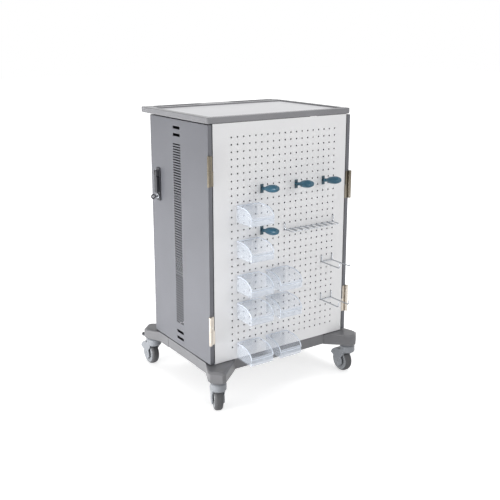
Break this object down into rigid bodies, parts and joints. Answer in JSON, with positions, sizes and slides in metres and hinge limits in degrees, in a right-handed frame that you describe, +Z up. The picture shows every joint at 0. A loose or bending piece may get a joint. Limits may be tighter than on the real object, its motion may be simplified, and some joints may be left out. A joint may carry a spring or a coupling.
{
  "type": "mobile cabinet cart",
  "caption": "Mobile lockable cabinet cart with a perforated tool panel, hung bins, pegs and wire hooks, a vented door at each end, a tray top with hand slots, and swivel casters.",
  "frame": {"origin": "on the floor, under the middle of the cabinet", "axes": "+Z up; -Y out of the perforated panel; X from door to door"},
  "size_m": [0.699, 0.649, 1.052],
  "materials": {
    "grey_paint": "fine satin powder coat",
    "white_paint": "satin powder coat",
    "dark_grey": "fine grained moulding",
    "rail_paint": "satin powder coat",
    "surface": "smooth laminate",
    "shelf_paint": "satin powder coat",
    "zinc": "bright zinc plate",
    "chrome": "polished",
    "handle_black": "satin",
    "caster_grey": "fine grained moulding",
    "hub_grey": "satin",
    "tyre_grey": "matt",
    "pedal_grey": "satin",
    "clear": "clear, glossy",
    "clip_white": "satin",
    "teal": "satin",
    "teal_dark": "satin"
  },
  "bodies": {
    "cabinet": {"base_rails": "rail_paint", "corner_castings": "dark_grey", "caster_stems": "zinc", "floor_sheet": "grey_paint", "corner_posts": "grey_paint", "perforated_panel": "white_paint", "rear_panel": "grey_paint", "top_frame": "dark_grey", "work_surface": "surface", "shelves": "shelf_paint", "hinge_leaves": "zinc", "hinge_pins": "zinc", "panel_screws": "zinc", "peg_brackets": "teal_dark", "tool_pegs": "teal", "wire_rack": "chrome", "wire_hooks": "chrome", "bin_clips": "clip_white"},
    "left_door": {"left_door_skin": "grey_paint", "left_door_stiffeners": "grey_paint", "left_door_hinges": "zinc", "left_handle_plate": "handle_black"},
    "left_handle": {"left_handle_cam": "zinc"},
    "left_lever": {"left_handle_lever": "handle_black"},
    "left_lock": {"left_lock_plug": "chrome", "left_key": "chrome"},
    "right_door": {"right_door_skin": "grey_paint", "right_door_stiffeners": "grey_paint", "right_door_hinges": "zinc", "right_handle_plate": "handle_black"},
    "right_handle": {"right_handle_cam": "zinc"},
    "right_lever": {"right_handle_lever": "handle_black"},
    "right_lock": {"right_lock_plug": "chrome", "right_key": "chrome"},
    "front_left_caster": {"front_left_hood": "caster_grey", "front_left_axle": "zinc"},
    "front_left_wheel": {"front_left_hub": "hub_grey", "front_left_tyre": "tyre_grey"},
    "front_right_caster": {"front_right_hood": "caster_grey", "front_right_axle": "zinc"},
    "front_right_wheel": {"front_right_hub": "hub_grey", "front_right_tyre": "tyre_grey"},
    "rear_left_caster": {"rear_left_hood": "caster_grey", "rear_left_axle": "zinc"},
    "rear_left_wheel": {"rear_left_hub": "hub_grey", "rear_left_tyre": "tyre_grey"},
    "rear_left_brake": {"rear_left_pedal": "pedal_grey"},
    "rear_right_caster": {"rear_right_hood": "caster_grey", "rear_right_axle": "zinc"},
    "rear_right_wheel": {"rear_right_hub": "hub_grey", "rear_right_tyre": "tyre_grey"},
    "rear_right_brake": {"rear_right_pedal": "pedal_grey"},
    "left_bin_1": {"left_bin_1": "clear"},
    "left_bin_2": {"left_bin_2": "clear"},
    "left_bin_3": {"left_bin_3": "clear"},
    "left_bin_4": {"left_bin_4": "clear"},
    "left_bin_5": {"left_bin_5": "clear"},
    "right_bin_1": {"right_bin_1": "clear"},
    "right_bin_2": {"right_bin_2": "clear"},
    "right_bin_3": {"right_bin_3": "clear"}
  },
  "joints": [
    {"name": "left_door_hinge", "type": "hinge", "parent": "cabinet", "child": "left_door", "pos_m": [-0.314, -0.2185, 0.6], "axis": [0, 0, 1], "range_deg": [0, 180]},
    {"name": "left_handle_turn", "type": "hinge", "parent": "left_door", "child": "left_handle", "pos_m": [-0.313, 0.143, 0.815], "axis": [-1, 0, 0], "range_deg": [0, 90]},
    {"name": "left_lever_lift", "type": "hinge", "parent": "left_handle", "child": "left_lever", "pos_m": [-0.325, 0.143, 0.815], "axis": [0, 1, 0], "range_deg": [0, 40]},
    {"name": "left_lock_turn", "type": "hinge", "parent": "left_door", "child": "left_lock", "pos_m": [-0.313, 0.143, 0.727], "axis": [1, 0, 0], "range_deg": [0, 90]},
    {"name": "right_door_hinge", "type": "hinge", "parent": "cabinet", "child": "right_door", "pos_m": [0.314, -0.2185, 0.6], "axis": [0, 0, -1], "range_deg": [0, 180]},
    {"name": "right_handle_turn", "type": "hinge", "parent": "right_door", "child": "right_handle", "pos_m": [0.313, 0.143, 0.815], "axis": [-1, 0, 0], "range_deg": [0, 90]},
    {"name": "right_lever_lift", "type": "hinge", "parent": "right_handle", "child": "right_lever", "pos_m": [0.325, 0.143, 0.815], "axis": [0, -1, 0], "range_deg": [0, 40]},
    {"name": "right_lock_turn", "type": "hinge", "parent": "right_door", "child": "right_lock", "pos_m": [0.313, 0.143, 0.727], "axis": [1, 0, 0], "range_deg": [0, 90]},
    {"name": "front_left_swivel", "type": "hinge", "parent": "cabinet", "child": "front_left_caster", "pos_m": [-0.302, -0.247, 0.105], "axis": [0, 0, 1], "continuous": true},
    {"name": "front_left_roll", "type": "hinge", "parent": "front_left_caster", "child": "front_left_wheel", "pos_m": [-0.29061, -0.22142, 0.045], "axis": [0.9135, -0.4067, 0], "continuous": true},
    {"name": "front_right_swivel", "type": "hinge", "parent": "cabinet", "child": "front_right_caster", "pos_m": [0.302, -0.247, 0.105], "axis": [0, 0, 1], "continuous": true},
    {"name": "front_right_roll", "type": "hinge", "parent": "front_right_caster", "child": "front_right_wheel", "pos_m": [0.302, -0.219, 0.045], "axis": [1, 0, 0], "continuous": true},
    {"name": "rear_left_swivel", "type": "hinge", "parent": "cabinet", "child": "rear_left_caster", "pos_m": [-0.302, 0.247, 0.105], "axis": [0, 0, 1], "continuous": true},
    {"name": "rear_left_roll", "type": "hinge", "parent": "rear_left_caster", "child": "rear_left_wheel", "pos_m": [-0.302, 0.275, 0.045], "axis": [1, 0, 0], "continuous": true},
    {"name": "rear_left_brake_press", "type": "hinge", "parent": "rear_left_caster", "child": "rear_left_brake", "pos_m": [-0.302, 0.286, 0.105], "axis": [-1, 0, 0], "range_deg": [0, 18]},
    {"name": "rear_right_swivel", "type": "hinge", "parent": "cabinet", "child": "rear_right_caster", "pos_m": [0.302, 0.247, 0.105], "axis": [0, 0, 1], "continuous": true},
    {"name": "rear_right_roll", "type": "hinge", "parent": "rear_right_caster", "child": "rear_right_wheel", "pos_m": [0.302, 0.275, 0.045], "axis": [1, 0, 0], "continuous": true},
    {"name": "rear_right_brake_press", "type": "hinge", "parent": "rear_right_caster", "child": "rear_right_brake", "pos_m": [0.302, 0.286, 0.105], "axis": [-1, 0, 0], "range_deg": [0, 18]},
    {"name": "left_bin_1_lift_off", "type": "slide", "parent": "cabinet", "child": "left_bin_1", "axis": [0, 0, 1], "range_m": [0, 0.016]},
    {"name": "left_bin_2_lift_off", "type": "slide", "parent": "cabinet", "child": "left_bin_2", "axis": [0, 0, 1], "range_m": [0, 0.016]},
    {"name": "left_bin_3_lift_off", "type": "slide", "parent": "cabinet", "child": "left_bin_3", "axis": [0, 0, 1], "range_m": [0, 0.016]},
    {"name": "left_bin_4_lift_off", "type": "slide", "parent": "cabinet", "child": "left_bin_4", "axis": [0, 0, 1], "range_m": [0, 0.016]},
    {"name": "left_bin_5_lift_off", "type": "slide", "parent": "cabinet", "child": "left_bin_5", "axis": [0, 0, 1], "range_m": [0, 0.016]},
    {"name": "right_bin_1_lift_off", "type": "slide", "parent": "cabinet", "child": "right_bin_1", "axis": [0, 0, 1], "range_m": [0, 0.016]},
    {"name": "right_bin_2_lift_off", "type": "slide", "parent": "cabinet", "child": "right_bin_2", "axis": [0, 0, 1], "range_m": [0, 0.016]},
    {"name": "right_bin_3_lift_off", "type": "slide", "parent": "cabinet", "child": "right_bin_3", "axis": [0, 0, 1], "range_m": [0, 0.016]}
  ]
}
